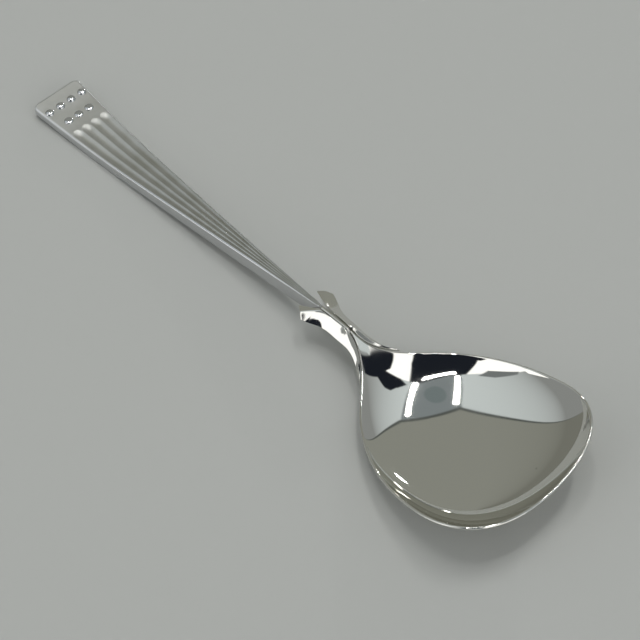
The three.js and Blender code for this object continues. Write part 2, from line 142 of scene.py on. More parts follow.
class SpoonNeckSizes(bpy.types.PropertyGroup):
    """The collar between handle and bowl, and the two horns that clasp it."""

    seat_gap: length("Seat gap", "Solder gap between two pieces", 0.1)
    length: length("Length", "From the handle to the bowl's heel", 8.4)
    rise: length("Rise", "How far the collar climbs to the heel", 0.3)
    heel_width: length("Heel width", "Width of the collar's top at the heel", 0.6)
    bottom_slope: share("Bottom slope", "Climb of the collar's underside", 0.09)
    drop_length: length("Drop length", "Reach of the tongue under the bowl", 8)
    drop_width: length("Drop width", "Width of the tongue's end", 1)
    drop_thickness: length("Drop thickness", "Thickness of the tongue's end", 0.7)
    horn_width: length("Horn width", "Width of a horn at its waist", 2.1)
    horn_swell: length("Horn swell", "How much wider a horn is beside the bowl's heel", 0.3)
    horn_swell_length: length("Horn swell length", "How far the swelling reaches", 3)
    horn_flare: length("Horn flare", "How much wider a horn is at its point", 1.15)
    horn_flare_back: length("Flare back", "How far behind the handle's end a horn is fully open", 0.5)
    horn_flare_length: length("Flare length", "Length over which a horn opens out", 2.7)
    horn_back_reach: length("Horn back reach", "How far a horn runs beside the handle", 4.2)
    horn_splay: share("Horn splay", "How fast a horn leaves the handle", 0.4)
    horn_splay_round: length("Horn splay round", "How gently a horn leaves the handle", 2.5)
    horn_blend: length("Horn blend", "How gently a horn passes from the collar to the rim", 0.8)
    horn_tail_back: length("Horn tail back", "From the flat back to a horn's tail", 14.2)
    horn_tail_width: length("Horn tail width", "Width of a horn's tail", 0.25)
    horn_rise: length("Horn rise", "Height of a horn above the collar", 0.3)
    horn_edge_drop: length("Horn edge drop", "From the handle's end down to a horn's outer edge", 1.4)
    horn_edge_fall: share("Horn edge fall", "Slope of the outer edge towards the bowl", 0.035)
    horn_tail_drop: length("Horn tail drop", "From the crest to the outer edge at the tail", 0.5)
    horn_depth: length("Horn depth", "Thickness of a horn below its outer edge", 0.9)
    horn_tail_depth: length("Horn tail depth", "Thickness below the outer edge at the tail", 0.2)
    horn_tip_thinning: share("Horn tip thinning", "How much thinner a horn is at its point", 0.5)
    horn_face_bulge: share("Horn face bulge", "Roundness of a horn's outer face", 0.05)
    horn_back_bulge: share("Horn back bulge", "Roundness of a horn's underside", 0.1)
    horn_rear_slope: share("Horn rear slope", "Slope of the ledge behind a horn's crest", 0.3)
    horn_rear_drop: length("Horn rear drop", "How far the ledge lies below the crest", 0.2)
    horn_rear_turn: angle("Horn rear turn", "Turn of a horn's rear edge in plan", 0.9)
    horn_tip_back: length("Horn tip back", "From the handle's end back to a horn's point", 1.7)
    horn_tip_out: length("Horn tip out", "From the middle to a horn's point", 4.4)
    horn_round: length("Horn round", "Softness of a horn's ridges", 0.12)
    horn_groove_depth: length("Groove depth", "Depth of the groove beside the bowl's rim", 0.5)
    horn_groove_width: share("Groove width", "Share of a horn's width that the groove takes", 0.5)
    horn_groove_run_in: length("Groove run-in", "Length over which the groove begins", 2)


class SpoonFinish(bpy.types.PropertyGroup):
    """Colours and polish of the silver."""

    silver: colour("Silver", "Polished silver plate", "D6D5CF")
    handle_silver: colour("Handle silver", "Satin silver plate of the handle", "CBCCCD")
    tarnish: colour("Tarnish", "Film left on the handle's face", "95948A")
    bowl_roughness: share("Bowl roughness", "Roughness of the mirror polish", 0.035)
    neck_roughness: share("Neck roughness", "Roughness of the bright neck", 0.07)
    handle_roughness: share("Handle roughness", "Roughness of the satin handle at its square end", 0.36)
    handle_polish: share("Handle polish", "Roughness of the handle where it runs into the neck", 0.1)
    bead_roughness: share("Bead roughness", "Roughness of the beads, which rub against a cloth", 0.12)


class SpoonStage(bpy.types.PropertyGroup):
    """Floor, light tent and camera."""

    floor: colour("Floor", "Plain pale table", "B4B5B1")
    back_wall: colour("Back wall", "Wall of the tent that faces the camera", "9A9C95")
    back_corner: colour("Back corner", "Dark left end of the back wall", "83847D")
    light_wall: colour("Light wall", "Side walls beside the ceiling", "DFE7EA")
    far_wall: colour("Far wall", "Side walls low down", "9A9D9D")
    ceiling: colour("Ceiling", "Ceiling of the tent", "8E969A")
    hole: colour("Hole", "Round hole in the ceiling", "7F8A8D")
    fold: colour("Fold", "Dark fold along the back wall", "5E6260")
    grey: colour("Grey shapes", "Dim places beside the open front", "83888A")
    dark: colour("Dark shapes", "Whoever stands in the open front", "20242C")
    bar_strength: share("Bar strength", "Brightness of the tent's light bars", 1)
    key_strength: share("Key strength", "Brightness of the small lamp at the back on the right", 200)
    window_strength: share("Window strength", "Brightness of the tent's open front", 1.6)
    azimuth: angle("Azimuth", "Camera's turn about the spoon", math.radians(46.74))
    elevation: angle("Elevation", "Camera's height above the table", math.radians(55.84))
    roll: angle("Roll", "Camera's tilt", math.radians(-0.83))
    lens: bpy.props.FloatProperty(
        name="Lens", description="Focal length on the camera's frame", default=84.375, unit="CAMERA"
    )
    distance: length("Distance", "From the camera to the table", 312.49)
    aim_x: length("Aim along", "Where the camera looks, along the spoon", -32.67)
    aim_y: length("Aim across", "Where the camera looks, across the spoon", 1.1)


# Mesh helpers


def smooth_step(low, high, value):
    """0 below low, 1 above high, and a smooth rise between."""
    t = np.clip((value - low) / (high - low), 0, 1)
    return t * t * (3 - 2 * t)


def mix(a, b, part):
    """A value between two others."""
    return a * (1 - part) + b * part


def soft_min(a, b, softness):
    """The smaller of two values, rounded off where they meet."""
    return (a + b - np.sqrt((a - b) ** 2 + softness**2)) / 2


def bezier(corners, steps):
    """Points on a Bezier curve of three or four corners."""
    t = np.linspace(0, 1, steps + 1)[:, None]
    points = [np.asarray(corner, float)[None, :] + 0 * t for corner in corners]
    while len(points) > 1:
        points = [mix(a, b, t) for a, b in zip(points, points[1:])]
    return points[0]


def even_loop(loop, count):
    """A closed line, drawn again with evenly spaced points."""
    closed = np.vstack([loop, loop[:1]])
    steps = np.linalg.norm(np.diff(closed, axis=0), axis=1)
    along = np.concatenate([[0], np.cumsum(steps)])
    places = np.linspace(0, along[-1], count, endpoint=False)
    return np.stack([np.interp(places, along, closed[:, k]) for k in range(2)], axis=1)


def round_loop(loop, passes):
    """A closed line with its corners worn round."""
    for _ in range(passes):
        loop = (np.roll(loop, 1, axis=0) + 2 * loop + np.roll(loop, -1, axis=0)) / 4
    return loop


def closed_faces(row_count, count):
    """Faces over rows of points, closed at both ends by the two points that follow the last row."""
    faces = []
    for start in range(0, (row_count - 1) * count, count):
        for k in range(count):
            a = start + k
            b = start + (k + 1) % count
            faces.append((a, b, b + count, a + count))
    first = row_count * count
    end = first - count
    for k in range(count):
        after = (k + 1) % count
        faces.append((first, after, k))
        faces.append((first + 1, end + k, end + after))
    return faces


# Sizes of the rings that close an end, as shares of its outline
CAP_RINGS = (0.96, 0.8, 0.4)


def skin(name, loops, attributes=None):
    """A closed mesh over a row of equal loops, capped at both ends.

    Attributes hold one value for each point of each loop.
    """
    loops = np.asarray(loops, float)
    front = []
    back = []
    for inset in CAP_RINGS:
        for rings, loop in ((front, loops[0]), (back, loops[-1])):
            middle = loop.mean(axis=0)
            rings.append(middle + (loop - middle) * inset)
    rows = np.concatenate([np.array(front[::-1]), loops, np.array(back)])
    ends = [rows[0].mean(axis=0), rows[-1].mean(axis=0)]
    points = np.concatenate([rows.reshape(-1, 3), ends])
    extra = len(CAP_RINGS)
    full = {}
    for key, value in (attributes or {}).items():
        value = np.asarray(value, float)
        padded = np.concatenate([value[:1]] * extra + [value] + [value[-1:]] * extra)
        full[key] = np.concatenate([padded.ravel(), [value[0].mean(), value[-1].mean()]])
    return mesh_object(name, points, closed_faces(*rows.shape[:2]), full)


def mesh_object(name, points, faces, attributes=None):
    """An object in the scene from points in metres, with smooth faces that point outwards."""
    mesh = bpy.data.meshes.new(name)
    mesh.from_pydata([tuple(point) for point in points], [], faces)
    for key, value in (attributes or {}).items():
        mesh.attributes.new(key, "FLOAT", "POINT").data.foreach_set("value", value.astype(np.float32))
    work = bmesh.new()
    work.from_mesh(mesh)
    bmesh.ops.recalc_face_normals(work, faces=work.faces)
    for face in work.faces:
        face.smooth = True
    work.to_mesh(mesh)
    work.free()
    made = bpy.data.objects.new(name, mesh)
    bpy.context.scene.collection.objects.link(made)
    return made


def place(piece, material, slot, *nodes):
    """Gives a finished piece its material, hangs it under the body and hides the solids that it stands for.
    """
    piece.data.materials.clear()
    piece.data.materials.append(material)
    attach(piece, BODY)
    if nodes:
        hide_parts(*nodes)


# Material helpers


def add(tree, kind, inputs=None, output=0, **settings):
    """Adds a node with its settings and links, and returns one of its outputs."""
    made = tree.nodes.new(kind)
    for key, value in settings.items():
        setattr(made, key, value)
    for key, value in (inputs or {}).items():
        if isinstance(value, bpy.types.NodeSocket):
            tree.links.new(value, made.inputs[key])
        else:
            made.inputs[key].default_value = value
    return made.outputs[output]


def new_material(name):
    """An empty node material and its tree."""
    made = bpy.data.materials.new(name)
    made.use_nodes = True
    made.node_tree.nodes.clear()
    return made, made.node_tree


def finish_material(tree, inputs):
    """Ends a material in one shader."""
    shader = add(tree, "ShaderNodeBsdfPrincipled", inputs)
    last = tree.nodes.new("ShaderNodeOutputMaterial")
    tree.links.new(shader, last.inputs["Surface"])


# Settings of a mix node that blends two colours
COLOUR_MIX = {"output": 2, "data_type": "RGBA"}
# Fine marks: how far apart, width as a share of length, detail, how strongly they show, and turn.
# Hairlines about 0.05 mm apart would not show, so they are drawn ten times as coarse.
HAIRLINES = (0.5 * MM, 0.08, 3, 0.03, 0.6)
BUFFING = (0.3 * MM, 0.1, 2, 0.05, 0)
WEAR = (0.2 * MM, 0.05, 3, 0.06, 0)
MARK_DEPTH = 0.01 * MM
# Changes of polish: least and most roughness as shares of the set one, and the noise that they answer to
BOWL_POLISH = (0.6, 1.8)
BOWL_POLISH_NOISE = (0.35, 0.75)
BOWL_POLISH_PATCH = 9 * MM
NECK_POLISH = (0.7, 1.4)
NECK_POLISH_NOISE = (0.3, 0.7)
WEAR_CHANGE = 0.16
# Specks on the bowl: how far apart they lie, their dark and whole radius as shares of that, and their film
SPECK_PITCH = 6 * MM
SPECK_CORE = 0.02
SPECK_EDGE = 0.05
SPECK_FILM = 0.55
# Film on the handle: size of its patches, how much it varies, its least share, and the roughness it adds
FILM_PATCH = 4 * MM
FILM_CHANGE = 0.6
FILM_LEAST = 0.45
FILM_ROUGHNESS = 0.08


def fine_marks(tree, where, marks):
    """A pattern of marks that run along the spoon, and the surface direction that they give."""
    pitch, slimness, detail, strength, turn = marks
    drawn = add(
        tree, "ShaderNodeMapping", {"Vector": where, "Rotation": (0, 0, turn), "Scale": (slimness, 1, 1)}
    )
    pattern = add(tree, "ShaderNodeTexNoise", {"Vector": drawn, "Scale": 1 / pitch, "Detail": detail})
    bump = add(tree, "ShaderNodeBump", {"Height": pattern, "Strength": strength, "Distance": MARK_DEPTH})
    return pattern, bump


def mirror_silver(finish):
    """Silver plate on the bowl, pressed and polished to a mirror, with hairlines and a few dull specks."""
    material, tree = new_material("mirror_polished_silver_plate")
    where = add(tree, "ShaderNodeTexCoord", output="Object")
    bump = fine_marks(tree, where, HAIRLINES)[1]
    dull = add(tree, "ShaderNodeTexNoise", {"Vector": where, "Scale": 1 / BOWL_POLISH_PATCH, "Detail": 4.0})
    roughness = add(
        tree,
        "ShaderNodeMapRange",
        {
            "Value": dull,
            "From Min": BOWL_POLISH_NOISE[0],
            "From Max": BOWL_POLISH_NOISE[1],
            "To Min": finish.bowl_roughness * BOWL_POLISH[0],
            "To Max": finish.bowl_roughness * BOWL_POLISH[1],
        },
    )
    speck = add(tree, "ShaderNodeTexVoronoi", {"Vector": where, "Scale": 1 / SPECK_PITCH, "Randomness": 1.0})
    spot = add(
        tree,
        "ShaderNodeMapRange",
        {"Value": speck, "From Min": SPECK_CORE, "From Max": SPECK_EDGE, "To Min": SPECK_FILM, "To Max": 0},
    )
    tint = add(
        tree, "ShaderNodeMix", {0: spot, 6: (*finish.silver, 1), 7: (*finish.tarnish, 1)}, **COLOUR_MIX
    )
    finish_material(tree, {"Metallic": 1.0, "Base Color": tint, "Roughness": roughness, "Normal": bump})
    return material


def bright_silver(finish):
    """Silver plate on the horns and collar, filed and buffed by hand: bright, with faint buffing marks."""
    material, tree = new_material("buffed_silver_plate")
    where = add(tree, "ShaderNodeTexCoord", output="Object")
    buffing, bump = fine_marks(tree, where, BUFFING)
    roughness = add(
        tree,
        "ShaderNodeMapRange",
        {
            "Value": buffing,
            "From Min": NECK_POLISH_NOISE[0],
            "From Max": NECK_POLISH_NOISE[1],
            "To Min": finish.neck_roughness * NECK_POLISH[0],
            "To Max": finish.neck_roughness * NECK_POLISH[1],
        },
    )
    silver = (*finish.silver, 1)
    finish_material(tree, {"Metallic": 1.0, "Base Color": silver, "Roughness": roughness, "Normal": bump})
    return material


def satin_silver(finish):
    """Struck silver plate on the handle: satin, with a warm uneven film on the face and polished beads."""
    material, tree = new_material("satin_silver_plate")
    where = add(tree, "ShaderNodeTexCoord", output="Object")
    hollow = add(tree, "ShaderNodeAttribute", output="Fac", attribute_name="hollow")
    patch = add(tree, "ShaderNodeTexNoise", {"Vector": where, "Scale": 1 / FILM_PATCH, "Detail": 5.0})
    uneven = add(tree, "ShaderNodeMath", {0: patch, 1: FILM_CHANGE, 2: FILM_LEAST}, operation="MULTIPLY_ADD")
    film = add(tree, "ShaderNodeMath", {0: hollow, 1: uneven}, operation="MULTIPLY", use_clamp=True)
    tint = add(
        tree,
        "ShaderNodeMix",
        {0: film, 6: (*finish.handle_silver, 1), 7: (*finish.tarnish, 1)},
        **COLOUR_MIX,
    )
    # Wear marks run along the handle and make it a little duller or brighter
    wear, bump = fine_marks(tree, where, WEAR)
    worn = add(
        tree, "ShaderNodeMath", {0: wear, 1: WEAR_CHANGE, 2: -WEAR_CHANGE / 2}, operation="MULTIPLY_ADD"
    )
    # Hands have polished the thin end, and cleaning has polished the beads
    line = neck_line()
    along = add(tree, "ShaderNodeSeparateXYZ", {0: where})
    dull = add(
        tree,
        "ShaderNodeMapRange",
        {
            "Value": along,
            "From Min": line.butt_x,
            "From Max": line.top_x,
            "To Min": finish.handle_roughness,
            "To Max": finish.handle_polish,
        },
    )
    bead = add(tree, "ShaderNodeAttribute", output="Fac", attribute_name="bead")
    dull = add(tree, "ShaderNodeMix", {0: bead, 2: dull, 3: finish.bead_roughness}, data_type="FLOAT")
    dull = add(tree, "ShaderNodeMath", {0: hollow, 1: FILM_ROUGHNESS, 2: dull}, operation="MULTIPLY_ADD")
    change = add(tree, "ShaderNodeMath", {0: worn, 1: dull}, operation="MULTIPLY")
    roughness = add(tree, "ShaderNodeMath", {0: dull, 1: change}, operation="ADD")
    finish_material(tree, {"Metallic": 1.0, "Base Color": tint, "Roughness": roughness, "Normal": bump})
    return material


MATERIALS = {}


def shared_material(make):
    """The material that this function makes, made once."""
    if make.__name__ not in MATERIALS:
        MATERIALS[make.__name__] = make(bpy.context.scene.spoon_finish)
    return MATERIALS[make.__name__]


# The bowl's dish and outline, which the neck follows too


# How sharply the rim turns up: the power of the way from the middle to the rim
TURN_SHARPNESS = 6


class Dish:
    """The bowl's inner face: a dish whose curve changes smoothly from heel to tip."""

    def __init__(self, bowl):
        self.bowl = bowl
        self.floor = bowl.wall - bowl.flat_depth
        heel = -bowl.heel_reach
        tip = bowl.tip_reach
        rises = [heel**2 / (2 * bowl.heel_radius), tip**2 / (2 * bowl.tip_radius)]
        self.bend, self.skew = np.linalg.solve([[heel**2, heel**3], [tip**2, tip**3]], rises)
        self.cross = 1 / (2 * bowl.cross_radius)

    def height(self, x, y, part=1):
        """Height at a place that lies at this part of the way from the middle to the rim."""
        depth = self.bend * x**2 + self.skew * x**3 + self.cross * y**2
        return self.floor + depth * (1 + self.turn_up(x) * (part**TURN_SHARPNESS - 1))

    def turn_up(self, x):
        """How much of the rim's turn-up there is at x."""
        return self.bowl.turn_up * smooth_step(self.bowl.turn_from, self.bowl.turn_full, x)

    def rim_normal(self, x, y):
        """Direction across the sheet at the rim."""
        steepness = 1 + self.turn_up(x) * TURN_SHARPNESS / 2
        along = -(2 * self.bend * x + 3 * self.skew * x**2)
        slope = np.stack([along, -2 * self.cross * y, 1 / steepness + 0 * x], axis=-1)
        return slope / np.linalg.norm(slope, axis=-1, keepdims=True)


OUTLINE_STEPS = 44
# Shares that shape the outline's three curves, from heel to tip
HEEL_PULL = 0.41
HEEL_SPREAD = 0.06
SHOULDER_PULL_BACK = 0.34
SHOULDER_NARROWING = 0.56
SHOULDER_PULL_FORWARD = 0.22
SHOULDER_WIDENING = 0.54
SIDE_FULLNESS = 0.45
CORNER_FULLNESS = 0.8
TIP_BLUNTNESS = 0.54


def half_outline(bowl, inset):
    """Half of the bowl's outline in plan, from heel to tip, drawn in by an inset."""
    heel = np.array([-bowl.heel_reach + inset, 0])
    shoulder = np.array([-bowl.shoulder_back, bowl.shoulder_half - inset])
    widest = np.array([bowl.widest_at, bowl.half_width - inset])
    tip = np.array([bowl.tip_reach - inset, 0])
    neck_run = shoulder[0] - heel[0]
    side_run = widest[0] - shoulder[0]
    tip_run = tip[0] - widest[0]
    rise = widest[1] - shoulder[1]
    neck = [
        heel,
        heel + [HEEL_PULL * neck_run, HEEL_SPREAD * shoulder[1]],
        [shoulder[0] - SHOULDER_PULL_BACK * neck_run, SHOULDER_NARROWING * shoulder[1]],
        shoulder,
    ]
    side = [
        shoulder,
        shoulder + [SHOULDER_PULL_FORWARD * side_run, SHOULDER_WIDENING * rise],
        widest - [SIDE_FULLNESS * side_run, 0],
        widest,
    ]
    front = [
        widest,
        widest + [CORNER_FULLNESS * tip_run, 0],
        [tip[0], TIP_BLUNTNESS * widest[1]],
        tip,
    ]
    curves = [bezier(corners, OUTLINE_STEPS)[:-1] for corners in (neck, side, front)]
    return np.vstack([*curves, tip])


RINGS = 70
# Above 1, the rings lie closer together towards the rim
RING_CROWDING = 1.25
LIP_STEPS = 8


def surface_normals(rows):
    """Upward directions across a surface that is given as rings of points from the middle outwards."""
    outward = np.gradient(rows, axis=0)
    around = np.roll(rows, -1, axis=1) - np.roll(rows, 1, axis=1)
    normal = np.cross(outward, around)
    normal *= np.sign(normal[..., 2:])
    return normal / np.linalg.norm(normal, axis=-1, keepdims=True)


def build_bowl(bowl):
    """The bowl: inner face, rounded lip, outer face and the small flat that it lies on."""
    dish = Dish(bowl)
    half = half_outline(bowl, bowl.lip)
    rim = np.vstack([half, (half * [1, -1])[-2:0:-1]])
    parts = 1 - (1 - np.arange(1, RINGS + 1) / RINGS) ** RING_CROWDING
    plan = parts[:, None, None] * rim
    heights = dish.height(plan[..., 0], plan[..., 1], parts[:, None])
    inner = np.concatenate([plan, heights[..., None]], axis=-1)
    normals = surface_normals(inner)
    walls = bowl.wall + (bowl.rim_thickness - bowl.wall) * parts
    outer = inner - walls[:, None, None] * normals
    outer[..., 2] = np.maximum(outer[..., 2], 0)
    along = np.roll(inner[-1], -1, axis=0) - np.roll(inner[-1], 1, axis=0)
    outward = np.cross(along, normals[-1])
    outward *= np.sign((outward[:, :2] * rim).sum(axis=1, keepdims=True))
    outward /= np.linalg.norm(outward, axis=1, keepdims=True)
    top = inner[-1]
    middle = (top + outer[-1]) / 2
    lip = []
    for step in range(1, LIP_STEPS):
        turn = math.pi * step / LIP_STEPS
        lip.append(middle + math.cos(turn) * (top - middle) + math.sin(turn) * bowl.lip * outward)
    rows = np.array([*inner, *lip, *outer[::-1]])
    points = np.concatenate([rows.reshape(-1, 3), [[0, 0, dish.floor]], [[0, 0, 0]]])
    return mesh_object("silver_bowl", points, closed_faces(*rows.shape[:2]))


# How gently the handle leaves the table, as a share of its length in front of the rest
REST_SOFTNESS = 0.15


class NeckLine:
    """Places along the neck, worked back from the bowl's heel."""

    def __init__(self, bowl, handle, neck):
        self.bowl = bowl
        self.handle = handle
        self.neck = neck
        self.dish = Dish(bowl)
        self.heel_x = -bowl.heel_reach
        self.heel_z = float(self.dish.height(self.heel_x, 0))
        self.top_x = self.heel_x - neck.length
        self.top_z = self.heel_z - neck.rise
        self.bottom_z = self.top_z - handle.neck_depth
        self.butt_x = self.top_x - handle.length
        self.rest_x = self.butt_x + handle.rest_from_butt
        outline = half_outline(bowl, 0)[: 2 * OUTLINE_STEPS]
        self.rim_x = outline[:, 0]
        self.rim_y = outline[:, 1]

    def underside(self, x):
        """Height of the handle's underside, which curls up to the butt and climbs to the neck."""
        soft = REST_SOFTNESS
        part = (x - self.rest_x) / (self.top_x - self.rest_x)
        climb = (np.hypot(np.maximum(part, 0), soft) - soft) / (math.hypot(1, soft) - soft)
        curl = np.minimum(part, 0) * (self.top_x - self.rest_x) / self.handle.rest_from_butt
        return self.bottom_z * climb + self.handle.butt_lift * curl**2

    def thickness(self, x):
        """Thickness of the handle."""
        part = (x - self.butt_x) / self.handle.length
        return mix(self.handle.butt_thickness, self.handle.neck_depth, part)

    def top(self, x):
        """Height of the handle's face."""
        return self.underside(x) + self.thickness(x)

    def half_width(self, x):
        """Half the width of the handle's face, less in the round corners at the butt."""
        handle = self.handle
        part = (x - self.butt_x) / handle.length
        straight = mix(handle.butt_width, handle.neck_width, part) / 2
        into_corner = np.clip(handle.butt_corner - (x - self.butt_x), 0, handle.butt_corner)
        return straight - handle.butt_corner + np.sqrt(handle.butt_corner**2 - into_corner**2)

    def collar_top(self, x):
        """Height of the collar's top."""
        return self.top_z + (self.heel_z - self.top_z) * (x - self.top_x) / self.neck.length

    def collar_half(self, x):
        """Half the width of the collar's top."""
        part = np.clip((x - self.top_x) / self.neck.length, 0, 1)
        return mix(self.handle.neck_width, self.neck.heel_width, part) / 2

    def collar_bottom(self, x):
        """Height of the collar's underside."""
        return self.bottom_z + self.neck.bottom_slope * (x - self.top_x)

    def rim_half(self, x):
        """Half the width of the bowl's rim behind its widest place."""
        return np.interp(x, self.rim_x, self.rim_y, left=0)

    def collar_flare(self):
        """How much wider the collar is below than above, on each side."""
        return self.handle.side_flare * self.handle.neck_depth


FLUTE_STEPS = 22
EDGE_STEPS = 5
SIDE_STEPS = 8
UNDER_STEPS = 12
# Film on the flat of the face, as a share of the film in the flutes
FACE_FILM = 0.8
# Where the handle is narrow, a rounded edge takes up this share of half its width at most
EDGE_SHARE = 0.3


def arc(middle, radius, start, stop):
    """Points on a quarter turn, in degrees."""
    turns = np.radians(np.linspace(start, stop, EDGE_STEPS))
    return np.stack([middle[0] + radius * np.cos(turns), middle[1] + radius * np.sin(turns)], axis=1)


def handle_section(line, x):
    """The handle's section at x as y and z pairs, and how far each lies in a flute."""
    handle = line.handle
    half = float(line.half_width(x))
    top = float(line.top(x))
    bottom = float(line.underside(x))
    edge = min(handle.edge_round, EDGE_SHARE * half)
    foot = half + handle.side_flare * float(line.thickness(x))
    face_half = half - edge
    width = 2 * face_half / handle.flute_count
    steps = handle.flute_count * FLUTE_STEPS
    across = (np.arange(steps + 1) % FLUTE_STEPS) / FLUTE_STEPS
    end_curve = 1 - np.sqrt(1 - (2 * across - 1) ** 2)
    start = line.butt_x + handle.flute_start + end_curve * width / 2
    run_in = np.clip((x - start) / handle.flute_run_in, 0, 1)
    sink = np.sin(math.pi * across) * np.sin(run_in * math.pi / 2)
    face_y = face_half - np.arange(steps + 1) * width / FLUTE_STEPS
    face = np.stack([face_y, top - handle.flute_depth * width * sink], axis=1)
    side = np.linspace(0, 1, SIDE_STEPS + 2)[1:-1, None]
    left_top = np.array([-half, top - edge])
    left_foot = np.array([-foot, bottom + edge])
    left_side = mix(left_top, left_foot, side)
    under = np.linspace(-foot + edge, foot - edge, UNDER_STEPS + 2)[1:-1]
    parts = [
        face,
        arc((-half + edge, top - edge), edge, 90, 180)[1:],
        left_side,
        arc((-foot + edge, bottom + edge), edge, 180, 270),
        np.stack([under, np.full(UNDER_STEPS, bottom)], axis=1),
        arc((foot - edge, bottom + edge), edge, 270, 360),
        (left_side * [-1, 1])[::-1],
        arc((half - edge, top - edge), edge, 0, 90)[:-1],
    ]
    hollow = np.concatenate([np.maximum(sink, FACE_FILM), np.zeros(sum(len(part) for part in parts[1:]))])
    return np.vstack(parts), hollow


# Stations in the round corners, past the beads, where the flutes begin, and along the rest of the handle
CORNER_STATIONS = 10
BEAD_STATIONS = 24
FLUTE_END_STATIONS = 70
SHAFT_STATIONS = 110


def handle_places(line):
    """Stations along the handle: close together where the flutes end."""
    handle = line.handle
    flutes = line.butt_x + handle.flute_start
    full = flutes + handle.flute_run_in + handle.butt_width / handle.flute_count
    return np.concatenate(
        [
            line.butt_x + np.linspace(0, handle.butt_corner, CORNER_STATIONS),
            np.linspace(line.butt_x + handle.butt_corner, flutes, BEAD_STATIONS)[1:],
            np.linspace(flutes, full, FLUTE_END_STATIONS)[1:],
            np.linspace(full, line.top_x, SHAFT_STATIONS)[1:],
        ]
    )


END_STEPS = 5
# Length over which the sections lean over to the slanted end at the neck
SCARF_BLEND = 12 * MM


def build_handle(line):
    """The handle: a tapered bar with a fluted face, rounded edges and a slanted end at the neck."""
    handle = line.handle
    loops = []
    hollows = []
    edge = handle.end_round
    for step in range(END_STEPS):
        turn = math.pi / 2 * step / END_STEPS
        loop, hollow = handle_section(line, line.butt_x)
        inset = edge * (1 - math.sin(turn))
        middle = loop.mean(axis=0)
        reach = np.abs(loop - middle).max(axis=0)
        shrunk = middle + (loop - middle) * (1 - inset / reach)
        x = line.butt_x + edge * (1 - math.cos(turn)) - edge
        loops.append(np.column_stack([np.full(len(loop), x), shrunk]))
        hollows.append(hollow)
    for x in handle_places(line):
        loop, hollow = handle_section(line, x)
        lean = np.clip((x - line.top_x + SCARF_BLEND) / SCARF_BLEND, 0, 1)
        place_x = x + lean * (loop[:, 1] - line.top_z)
        drop = line.underside(place_x) - line.underside(x)
        loops.append(np.column_stack([place_x, loop[:, 0], loop[:, 1] + drop]))
        hollows.append(hollow)
    return skin("silver_handle", loops, {"hollow": hollows})


def tongue_top(line, x):
    """The top of the collar's tongue, one seat gap below the bowl."""
    wall = line.bowl.wall + (line.bowl.rim_thickness - line.bowl.wall) * x / line.heel_x
    normal = line.dish.rim_normal(np.array(x), np.array(0.0))
    return float(line.dish.height(x, 0) - (wall + line.neck.seat_gap) / normal[2])


COLLAR_STATIONS = 40
COLLAR_POINTS = 72
COLLAR_ROUNDING = 4
# The end leans at 45 degrees, so a gap across it is this much longer along the spoon
SCARF_STRETCH = math.sqrt(2)


def build_collar(line):
    """The collar: the strip between the horns, and the tongue under the bowl."""
    neck = line.neck
    heel_face = line.heel_x - line.bowl.rim_thickness - neck.seat_gap
    drop_end = line.heel_x + neck.drop_length
    heel_half = float(line.collar_half(heel_face)) + line.collar_flare()
    start = line.top_x + neck.seat_gap * SCARF_STRETCH
    neck_places = np.linspace(start, heel_face, COLLAR_STATIONS)
    tongue_places = np.linspace(heel_face + neck.seat_gap / 2, drop_end, COLLAR_STATIONS)
    loops = []
    for x in np.concatenate([neck_places, tongue_places]):
        part = (x - heel_face) / (drop_end - heel_face)
        if part <= 0:
            top = float(line.collar_top(x))
            bottom = line.collar_bottom(x)
            top_half = float(line.collar_half(x))
            bottom_half = top_half + line.collar_flare()
        else:
            top = tongue_top(line, x)
            end = tongue_top(line, drop_end) - neck.drop_thickness
            bottom = mix(line.collar_bottom(heel_face), end, part**2)
            bottom_half = mix(heel_half, neck.drop_width / 2, part)
            top_half = min(bottom_half, float(line.collar_half(x)))
        corners = np.array([[top_half, top], [-top_half, top], [-bottom_half, bottom], [bottom_half, bottom]])
        loop = round_loop(even_loop(corners, COLLAR_POINTS), COLLAR_ROUNDING)
        lean = np.clip(1 - (x - start) / (heel_face - start), 0, 1)
        loops.append(np.column_stack([x + lean * (loop[:, 1] - line.top_z), loop]))
    return skin("silver_neck_collar", loops)


HORN_STATIONS = 220
HORN_STEPS = 24
HORN_POINTS = 160
HORN_ROUNDING = 2
HORN_SEARCH_STEP = 0.02 * MM
# How late a horn narrows and thins towards its tail: powers of the way along it
HORN_TAPER_SHARPNESS = 4
HORN_THINNING_SHARPNESS = 3


def horn_seat(line):
    """A line in plan that stays one seat gap outside the lower edge of the rim."""
    x, y = line.rim_x, line.rim_y
    lower = np.stack([x, y], axis=1) - line.bowl.rim_thickness * line.dish.rim_normal(x, y)[:, :2]
    along = np.gradient(lower, axis=0)
    along /= np.linalg.norm(along, axis=1, keepdims=True)
    return lower + line.neck.seat_gap * np.stack([-along[:, 1], along[:, 0]], axis=1)


def bent(start, end, corner, pull):
    """A curve between two points that leans towards a corner."""
    middle = mix((start + end) / 2, np.array(corner), pull)
    return bezier([start, middle, end], HORN_STEPS)


def horn_inner(line, seat, x):
    """Distance of a horn's inner face from the middle."""
    neck = line.neck
    beside = -float(soft_min(x - line.top_x, 0, neck.horn_splay_round))
    core_half = float(line.half_width(x) if x < line.top_x else line.collar_half(x))
    neck_half = core_half + neck.horn_splay * beside
    rim = float(np.interp(x, seat[:, 0], seat[:, 1], left=0))
    return math.hypot(neck_half + neck.seat_gap, rim)


def horn_rear(line, x):
    """Distance from the middle of a horn's rear edge, which turns in from the point towards the handle."""
    neck = line.neck
    return neck.horn_tip_out + (x - line.top_x + neck.horn_tip_back) / math.tan(neck.horn_rear_turn)


